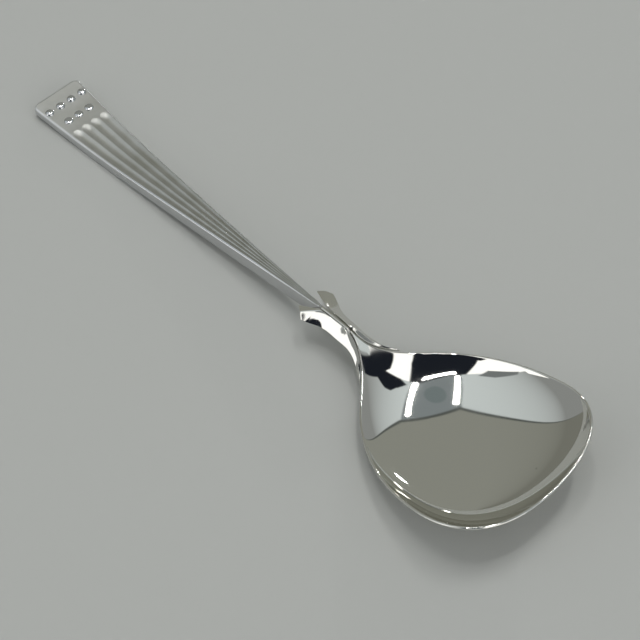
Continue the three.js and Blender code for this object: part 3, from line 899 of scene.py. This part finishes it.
def horn_section(line, seat, x):
    """A horn's section at x as pairs of distance from the middle and height."""
    neck = line.neck
    back_x = line.top_x - neck.horn_back_reach
    tail_x = -neck.horn_tail_back
    part = (x - back_x) / (tail_x - back_x)
    from_flare = max(x - line.top_x + neck.horn_flare_back, 0)
    opening = math.exp(-((from_flare / neck.horn_flare_length) ** 2))
    swell = math.exp(-(((x - line.heel_x) / neck.horn_swell_length) ** 2))
    width = mix(neck.horn_width, neck.horn_tail_width, part**HORN_TAPER_SHARPNESS)
    width += neck.horn_flare * opening + neck.horn_swell * swell
    on_rim = line.dish.height(x, line.rim_half(x))
    ridge = float(soft_min(line.collar_top(x), on_rim, neck.horn_blend)) + neck.horn_rise
    neck_edge = line.top_z - neck.horn_edge_drop - neck.horn_edge_fall * (x - line.top_x)
    edge = float(soft_min(neck_edge, ridge - neck.horn_tail_drop, neck.horn_blend))
    depth = mix(neck.horn_depth, neck.horn_tail_depth, part**HORN_THINNING_SHARPNESS)
    foot = edge - depth * (1 - neck.horn_tip_thinning * opening)
    groove = smooth_step(line.heel_x - neck.horn_groove_run_in, line.heel_x + neck.horn_groove_run_in, x)
    inner = horn_inner(line, seat, x)
    start = np.array([inner, ridge - neck.horn_groove_depth * groove * (1 - part)])
    crest = np.array([inner + width * neck.horn_groove_width * groove, ridge])
    outer = np.array([inner + width, edge])
    heel = np.array([inner + line.collar_flare(), foot])
    face = bent(crest, outer, (outer[0], ridge), neck.horn_face_bulge)
    back = bent(outer, heel, (outer[0], foot), neck.horn_back_bulge)
    loop = round_loop(even_loop(np.vstack([start, face, back[1:]]), HORN_POINTS), HORN_ROUNDING)
    ledge = line.top_z + neck.horn_rise - neck.horn_rear_drop + neck.horn_rear_slope * (x - line.top_x)
    if x < line.heel_x:
        loop[:, 1] = soft_min(loop[:, 1], ledge, neck.horn_round)
    rear = max(horn_rear(line, x), inner + neck.horn_round)
    loop[:, 0] = soft_min(loop[:, 0], rear, neck.horn_round)
    return loop


def build_horn(line, side, name):
    """One horn: a leaf that clasps the neck, from a point beside the handle to the bowl's shoulder."""
    seat = horn_seat(line)
    tail_x = -line.neck.horn_tail_back
    back_x = line.top_x - line.neck.horn_back_reach
    while horn_rear(line, back_x) < horn_inner(line, seat, back_x) + line.neck.horn_round:
        back_x += HORN_SEARCH_STEP
    loops = []
    for x in np.linspace(back_x, tail_x, HORN_STATIONS):
        loop = horn_section(line, seat, x)
        loops.append(np.column_stack([np.full(len(loop), x), side * loop[:, 0], loop[:, 1]]))
    return skin(name, loops)


# Operators


def neck_line():
    """The places along the neck for the sizes set in the scene."""
    scene = bpy.context.scene
    return NeckLine(scene.spoon_bowl, scene.spoon_handle, scene.spoon_neck)


class SPOON_OT_bowl(bpy.types.Operator):
    """Build the pressed and polished bowl"""

    bl_idname = "spoon.bowl"
    bl_label = "Bowl"

    def execute(self, context):
        piece = build_bowl(context.scene.spoon_bowl)
        place(piece, shared_material(mirror_silver), "bowl_silver", "bowl")
        return {"FINISHED"}


class SPOON_OT_handle(bpy.types.Operator):
    """Build the struck handle with its flutes"""

    bl_idname = "spoon.handle"
    bl_label = "Handle"

    def execute(self, context):
        piece = build_handle(neck_line())
        place(piece, shared_material(satin_silver), "handle_silver", "handle")
        return {"FINISHED"}


class SPOON_OT_neck(bpy.types.Operator):
    """Build the collar and the two horns that clasp it"""

    bl_idname = "spoon.neck"
    bl_label = "Neck"

    def execute(self, context):
        line = neck_line()
        silver = shared_material(bright_silver)
        place(build_collar(line), silver, "neck_silver", "neck_collar")
        place(build_horn(line, 1, "silver_left_horn"), silver, "neck_silver", "left_horn")
        place(build_horn(line, -1, "silver_right_horn"), silver, "neck_silver", "right_horn")
        return {"FINISHED"}


BEAD_SEGMENTS = 40
BEAD_RINGS = 20


def bead_tree(material):
    """A node tree that lays one row of beads across the handle."""
    tree = bpy.data.node_groups.new("bead_row", "GeometryNodeTree")
    face = tree.interface
    face.new_socket("Geometry", in_out="OUTPUT", socket_type="NodeSocketGeometry")
    for name, kind in (
        ("Count", "NodeSocketInt"),
        ("Pitch", "NodeSocketFloat"),
        ("Middle", "NodeSocketVector"),
        ("Radius", "NodeSocketFloat"),
        ("Height", "NodeSocketFloat"),
    ):
        face.new_socket(name, in_out="INPUT", socket_type=kind)
    given = tree.nodes.new("NodeGroupInput").outputs
    gaps = add(tree, "ShaderNodeMath", {0: given["Count"], 1: 1.0}, operation="SUBTRACT")
    back = add(tree, "ShaderNodeMath", {0: gaps, 1: -0.5}, operation="MULTIPLY")
    first = add(tree, "ShaderNodeMath", {0: back, 1: given["Pitch"]}, operation="MULTIPLY")
    first = add(tree, "ShaderNodeCombineXYZ", {"Y": first})
    start = add(tree, "ShaderNodeVectorMath", {0: given["Middle"], 1: first}, operation="ADD")
    step = add(tree, "ShaderNodeCombineXYZ", {"Y": given["Pitch"]})
    row = add(
        tree, "GeometryNodeMeshLine", {"Count": given["Count"], "Start Location": start, "Offset": step}
    )
    ball = add(
        tree,
        "GeometryNodeMeshUVSphere",
        {"Segments": BEAD_SEGMENTS, "Rings": BEAD_RINGS, "Radius": 1.0},
    )
    radius = given["Radius"]
    shape = add(tree, "ShaderNodeCombineXYZ", {"X": radius, "Y": radius, "Z": given["Height"]})
    beads = add(tree, "GeometryNodeInstanceOnPoints", {"Points": row, "Instance": ball, "Scale": shape})
    real = add(tree, "GeometryNodeRealizeInstances", {"Geometry": beads})
    smooth = add(tree, "GeometryNodeSetShadeSmooth", {"Geometry": real})
    named = add(tree, "GeometryNodeStoreNamedAttribute", {"Geometry": smooth, "Name": "bead", "Value": 1.0})
    metal = add(tree, "GeometryNodeSetMaterial", {"Geometry": named, "Material": material})
    last = tree.nodes.new("NodeGroupOutput")
    tree.links.new(metal, last.inputs["Geometry"])
    return tree


class SPOON_OT_beads(bpy.types.Operator):
    """Lay the two rows of beads near the handle's square end"""

    bl_idname = "spoon.beads"
    bl_label = "Beads"

    def execute(self, context):
        line = neck_line()
        beads = context.scene.spoon_beads
        handle = context.scene.spoon_handle
        silver = shared_material(satin_silver)
        tree = bead_tree(silver)
        inputs = [item for item in tree.interface.items_tree if item.in_out == "INPUT"]
        sockets = {item.name: item.identifier for item in inputs}
        rows = (
            ("first_bead_row", beads.first_row, handle.flute_count, beads.height),
            ("second_bead_row", beads.second_row, handle.flute_count - 1, beads.low_height),
        )
        for name, from_butt, count, height in rows:
            x = line.butt_x + from_butt
            holder = bpy.data.objects.new(name + "_nodes", bpy.data.meshes.new(name + "_nodes"))
            context.scene.collection.objects.link(holder)
            modifier = holder.modifiers.new("beads", "NODES")
            modifier.node_group = tree
            modifier[sockets["Count"]] = count
            modifier[sockets["Pitch"]] = 2 * float(line.half_width(x)) / handle.flute_count
            modifier[sockets["Middle"]] = (x, 0, float(line.top(x)))
            modifier[sockets["Radius"]] = beads.radius
            modifier[sockets["Height"]] = height
            graph = context.evaluated_depsgraph_get()
            mesh = bpy.data.meshes.new_from_object(holder.evaluated_get(graph))
            bpy.data.objects.remove(holder)
            piece = bpy.data.objects.new(name, mesh)
            context.scene.collection.objects.link(piece)
            if len(mesh.polygons) == 0:
                raise RuntimeError("the bead row came out empty")
            place(piece, silver, "handle_silver")
        return {"FINISHED"}


# Outlines in the tent as seen from the spoon: across to the right and ahead of the camera, each in units
# of the height above the table, so that a direction near the table lies far out
FAR = 60
CEILING = ((0.22, 0.17), (0.33, 0.68), (-0.16, 0.48), (-0.23, 0.05), (0.1, 0.11))
BACK_WALL = ((-0.15, 0.47), (0.33, 0.67), (FAR, FAR), (FAR, 4 * FAR), (-FAR, 4 * FAR), (-FAR, 32.2))
WINDOWS = (
    ((-0.3, 0.03), (0.25, 0.16), (0.35, 0.1), (FAR, -28), (FAR, -4 * FAR), (-FAR, -4 * FAR), (-FAR, -21.5)),
    ((-2.1, -0.5), (-FAR, -4), (-FAR, -4 * FAR), (FAR, -4 * FAR)),
)
LIGHT_BARS = (
    (50, ((0.2, 0.18), (0.165, 0.19), (0.24, 0.57), (0.27, 0.58))),
    (25, ((0.12, 0.14), (0.11, 0.1), (-0.18, 0), (-0.18, 0.04))),
    (30, ((-0.17, 0.1), (-0.2, 0.09), (-0.14, 0.42), (-0.11, 0.42))),
)
KEY_LAMP = ((1.38, 3.75), (1.56, 3.75), (1.56, 4.2), (1.38, 4.2))
DARK_SHAPES = (
    ((0.98, 0), (0.74, -0.21), (0.43, -0.36), (0.48, -0.07), (0.74, 0.14), (1.07, 0.21)),
    ((0.48, -0.08), (0.34, 0.1), (0.22, 0.18), (0.46, 0.28), (0.57, 0.25), (0.76, 0.13)),
    ((0.2, -0.6), (0.25, -0.2), (0.24, 0.16), (0.15, 0.19), (-0.3, 0.03), (-0.56, -0.4), (-0.72, -0.65)),
    ((0.2, -0.59), (-0.72, -0.59), (-2.6, -2.2), (0.7, -2.2)),
)
GREY_SHAPES = (
    ((-0.4, 0.04), (-0.61, 0.02), (-1.32, -0.27), (-1.6, -0.45), (-0.61, -0.16)),
    ((0.5, -0.36), (0.95, -0.36), (1.3, -0.9), (0.6, -0.9)),
)
LIGHT_WALLS = (
    ((0.75, -0.2), (1.05, 0), (4, -0.3), (4, -2), (1.0, -0.7)),
    ((0.7, -2.2), (-2.6, -2.2), (-FAR, -48), (20, -FAR)),
)
LENS_HOLE = (0.02, 0.325, 1)
LENS_HOLE_RADIUS = 0.085
EDGE_SOFTNESS = 0.008
FOLD_WIDTH = 0.014
# Where the side walls begin and end to darken, across the tent
LEFT_WALL = (-0.3, -2.6)
RIGHT_WALL = (0.3, 1.1)


# Settings of a vector node that gives the dot product
DOT = {"output": "Value", "operation": "DOT_PRODUCT"}


def reach_inside(tree, spot, corners):
    """How far inside a convex outline a spot lies; negative outside."""
    pairs = list(zip(corners, corners[1:] + corners[:1]))
    turn = math.copysign(1, sum(start[0] * end[1] - end[0] * start[1] for start, end in pairs))
    nearest = None
    for start, end in pairs:
        edge = turn * (Vector(end) - Vector(start)).normalized()
        line = (-edge.y, edge.x, edge.y * start[0] - edge.x * start[1])
        reach = add(tree, "ShaderNodeVectorMath", {0: spot, 1: line}, **DOT)
        if nearest is not None:
            reach = add(tree, "ShaderNodeMath", {0: nearest, 1: reach}, operation="MINIMUM")
        nearest = reach
    return nearest


def paint(tree, room, reach, shade):
    """The room with one shape painted over it, a little soft at its edge."""
    soft = {"From Min": -EDGE_SOFTNESS, "From Max": EDGE_SOFTNESS}
    cover = add(tree, "ShaderNodeMapRange", {"Value": reach, **soft})
    return add(tree, "ShaderNodeMix", {0: cover, 6: room, 7: shade}, **COLOUR_MIX)


def white(strength):
    """White light of this strength."""
    return (strength, strength, strength, 1)


def light_tent(stage, look, right):
    """A small photographer's tent seen by direction: grey walls, three light bars, a lamp, an open front."""
    world = bpy.data.worlds.new("light_tent")
    bpy.context.scene.world = world
    world.use_nodes = True
    tree = world.node_tree
    tree.nodes.clear()
    view = add(tree, "ShaderNodeTexCoord", output="Generated")
    aside = add(tree, "ShaderNodeVectorMath", {0: view, 1: right}, **DOT)
    ahead = add(tree, "ShaderNodeVectorMath", {0: view, 1: look}, **DOT)
    height = add(tree, "ShaderNodeSeparateXYZ", {0: view}, output="Z")
    height = add(tree, "ShaderNodeMath", {0: height, 1: 1 / FAR}, operation="MAXIMUM")
    across = add(tree, "ShaderNodeMath", {0: aside, 1: height}, operation="DIVIDE")
    along = add(tree, "ShaderNodeMath", {0: ahead, 1: height}, operation="DIVIDE")
    spot = add(tree, "ShaderNodeCombineXYZ", {0: across, 1: along, 2: 1.0})
    # The side walls are lightest beside the ceiling, and the back wall is darkest on the left
    to_left, to_right = (
        add(tree, "ShaderNodeMapRange", {"Value": across, "From Min": start, "From Max": end})
        for start, end in (LEFT_WALL, RIGHT_WALL)
    )
    off_middle = add(tree, "ShaderNodeMath", {0: to_left, 1: to_right}, operation="MAXIMUM")
    light_wall = (*stage.light_wall, 1)
    room = add(
        tree, "ShaderNodeMix", {0: off_middle, 6: light_wall, 7: (*stage.far_wall, 1)}, **COLOUR_MIX
    )
    back = add(
        tree,
        "ShaderNodeMix",
        {0: to_left, 6: (*stage.back_wall, 1), 7: (*stage.back_corner, 1)},
        **COLOUR_MIX,
    )
    room = paint(tree, room, reach_inside(tree, spot, CEILING), (*stage.ceiling, 1))
    from_hole = add(
        tree, "ShaderNodeVectorMath", {0: spot, 1: LENS_HOLE}, output="Value", operation="DISTANCE"
    )
    in_hole = add(tree, "ShaderNodeMath", {0: LENS_HOLE_RADIUS, 1: from_hole}, operation="SUBTRACT")
    room = paint(tree, room, in_hole, (*stage.hole, 1))
    behind = reach_inside(tree, spot, BACK_WALL)
    room = paint(tree, room, behind, back)
    on_fold = add(tree, "ShaderNodeMath", {0: behind}, operation="ABSOLUTE")
    fold = add(tree, "ShaderNodeMath", {0: FOLD_WIDTH, 1: on_fold}, operation="SUBTRACT")
    room = paint(tree, room, fold, (*stage.fold, 1))
    # The open front, a bright room with the dark shapes of whoever holds the camera, and then the lights
    layers = [(corners, white(stage.window_strength)) for corners in WINDOWS]
    layers += [(corners, light_wall) for corners in LIGHT_WALLS]
    layers += [(corners, (*stage.grey, 1)) for corners in GREY_SHAPES]
    layers += [(corners, (*stage.dark, 1)) for corners in DARK_SHAPES]
    layers += [(corners, white(stage.bar_strength * strength)) for strength, corners in LIGHT_BARS]
    layers.append((KEY_LAMP, white(stage.key_strength)))
    for corners, shade in layers:
        room = paint(tree, room, reach_inside(tree, spot, corners), shade)
    background = add(tree, "ShaderNodeBackground", {"Color": room, "Strength": 1.0})
    last = tree.nodes.new("ShaderNodeOutputWorld")
    tree.links.new(background, last.inputs["Surface"])


FLOOR_HALF = 1.5
FLOOR_ROUGHNESS = 0.75
FLOOR_SHINE = 0.2
CAMERA_FRAME = 36
CLIP_START = 10 * MM


def set_camera(stage):
    """Points the camera at the spoon, and returns its level directions ahead and to the right."""
    azimuth = stage.azimuth
    level = math.cos(stage.elevation)
    back = Vector((math.sin(azimuth) * level, -math.cos(azimuth) * level, math.sin(stage.elevation)))
    level_right = Vector((math.cos(azimuth), math.sin(azimuth), 0))
    level_up = back.cross(level_right)
    right = math.cos(stage.roll) * level_right + math.sin(stage.roll) * level_up
    up = back.cross(right)
    data = bpy.data.cameras.new("camera")
    data.lens = stage.lens
    data.sensor_width = CAMERA_FRAME
    data.clip_start = CLIP_START
    camera = bpy.data.objects.new("camera", data)
    bpy.context.scene.collection.objects.link(camera)
    turn = Matrix((right, up, back)).transposed().to_4x4()
    spot = Vector((stage.aim_x, stage.aim_y, 0)) + back * stage.distance
    camera.matrix_world = Matrix.Translation(spot) @ turn
    bpy.context.scene.camera = camera
    return Vector((-back.x, -back.y, 0)).normalized(), level_right


def lay_floor(stage):
    """A plain matt table under the spoon."""
    corners = [(-FLOOR_HALF, -FLOOR_HALF, 0), (FLOOR_HALF, -FLOOR_HALF, 0)]
    corners += [(FLOOR_HALF, FLOOR_HALF, 0), (-FLOOR_HALF, FLOOR_HALF, 0)]
    mesh = bpy.data.meshes.new("floor")
    mesh.from_pydata(corners, [], [(0, 1, 2, 3)])
    floor = bpy.data.objects.new("floor", mesh)
    bpy.context.scene.collection.objects.link(floor)
    material, tree = new_material("matt_pale_floor")
    matt = {"Roughness": FLOOR_ROUGHNESS, "Specular IOR Level": FLOOR_SHINE}
    finish_material(tree, {"Base Color": (*stage.floor, 1), **matt})
    mesh.materials.append(material)


class SPOON_OT_stage(bpy.types.Operator):
    """Lay the floor, and set up the light tent and the camera"""

    bl_idname = "spoon.stage"
    bl_label = "Stage"

    def execute(self, context):
        stage = context.scene.spoon_stage
        ahead, right = set_camera(stage)
        lay_floor(stage)
        light_tent(stage, ahead, right)
        context.scene.view_settings.view_transform = "Standard"
        return {"FINISHED"}


class SPOON_PT_panel(bpy.types.Panel):
    """Sizes and steps of the spoon"""

    bl_idname = "SPOON_PT_panel"
    bl_label = "Jam spoon"
    bl_space_type = "VIEW_3D"
    bl_region_type = "UI"
    bl_category = "Jam spoon"

    def draw(self, context):
        for name, group_class, operator in STEPS:
            group = getattr(context.scene, name)
            for key in group_class.__annotations__:
                self.layout.prop(group, key)
            if operator:
                self.layout.operator(operator.bl_idname)


# Each group of sizes with the operator that uses it; the finish serves all of them
STEPS = (
    ("spoon_finish", SpoonFinish, None),
    ("spoon_bowl", SpoonBowlSizes, SPOON_OT_bowl),
    ("spoon_handle", SpoonHandleSizes, SPOON_OT_handle),
    ("spoon_beads", SpoonBeadSizes, SPOON_OT_beads),
    ("spoon_neck", SpoonNeckSizes, SPOON_OT_neck),
    ("spoon_stage", SpoonStage, SPOON_OT_stage),
)


def register():
    """Adds the groups of sizes, the operators and the panel."""
    for name, group_class, operator in STEPS:
        bpy.utils.register_class(group_class)
        setattr(bpy.types.Scene, name, bpy.props.PointerProperty(type=group_class))
        if operator:
            bpy.utils.register_class(operator)
    bpy.utils.register_class(SPOON_PT_panel)


def unregister():
    """Takes them away again."""
    bpy.utils.unregister_class(SPOON_PT_panel)
    for name, group_class, operator in STEPS:
        if operator:
            bpy.utils.unregister_class(operator)
        delattr(bpy.types.Scene, name)
        bpy.utils.unregister_class(group_class)


def main():
    """Builds the spoon and its stage."""
    register()
    bpy.ops.spoon.bowl()
    bpy.ops.spoon.handle()
    bpy.ops.spoon.beads()
    bpy.ops.spoon.neck()
    bpy.ops.spoon.stage()


if __name__ == "__main__":
    main()
